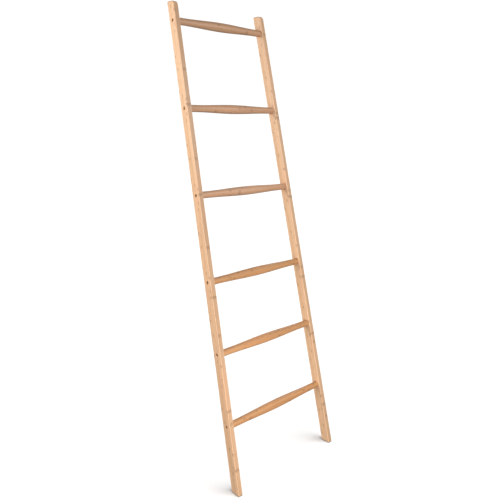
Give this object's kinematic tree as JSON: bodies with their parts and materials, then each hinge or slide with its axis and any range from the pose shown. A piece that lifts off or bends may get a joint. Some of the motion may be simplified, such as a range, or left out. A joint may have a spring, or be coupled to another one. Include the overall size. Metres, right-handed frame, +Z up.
{
  "type": "leaning ladder rack",
  "caption": "Leaning bamboo ladder rack: flat side rails that close in towards the top, joined by turned spindle rungs, for hanging quilts, blankets or towels against a wall.",
  "frame": {"origin": "on the floor, under the middle of the ladder's bounding box, as it leans against a wall", "axes": "+X along the rungs towards the right rail, +Y back towards the wall, +Z up; the rails lean back 12.8 degrees from +Z"},
  "size_m": [0.5, 0.4206, 1.6891],
  "materials": {
    "rail_bamboo": "light laminated bamboo with a satin clear coat",
    "rung_bamboo": "caramel turned bamboo with a satin clear coat",
    "bolt_bronze": "dark bronze coated steel",
    "insert_zinc": "zinc plated",
    "pad_rubber": "matt grey-brown"
  },
  "bodies": {
    "root": {"left_rail": "rail_bamboo", "right_rail": "rail_bamboo", "rung_1": "rung_bamboo", "rung_2": "rung_bamboo", "rung_3": "rung_bamboo", "rung_4": "rung_bamboo", "rung_5": "rung_bamboo", "rung_6": "rung_bamboo", "bolt_left_1": "bolt_bronze", "bolt_left_2": "bolt_bronze", "bolt_left_3": "bolt_bronze", "bolt_left_4": "bolt_bronze", "bolt_left_5": "bolt_bronze", "bolt_left_6": "bolt_bronze", "bolt_right_1": "bolt_bronze", "bolt_right_2": "bolt_bronze", "bolt_right_3": "bolt_bronze", "bolt_right_4": "bolt_bronze", "bolt_right_5": "bolt_bronze", "bolt_right_6": "bolt_bronze", "insert_left_1": "insert_zinc", "insert_left_2": "insert_zinc", "insert_left_3": "insert_zinc", "insert_left_4": "insert_zinc", "insert_left_5": "insert_zinc", "insert_left_6": "insert_zinc", "insert_right_1": "insert_zinc", "insert_right_2": "insert_zinc", "insert_right_3": "insert_zinc", "insert_right_4": "insert_zinc", "insert_right_5": "insert_zinc", "insert_right_6": "insert_zinc", "foot_pad_left": "pad_rubber", "foot_pad_right": "pad_rubber"}
  },
  "joints": []
}
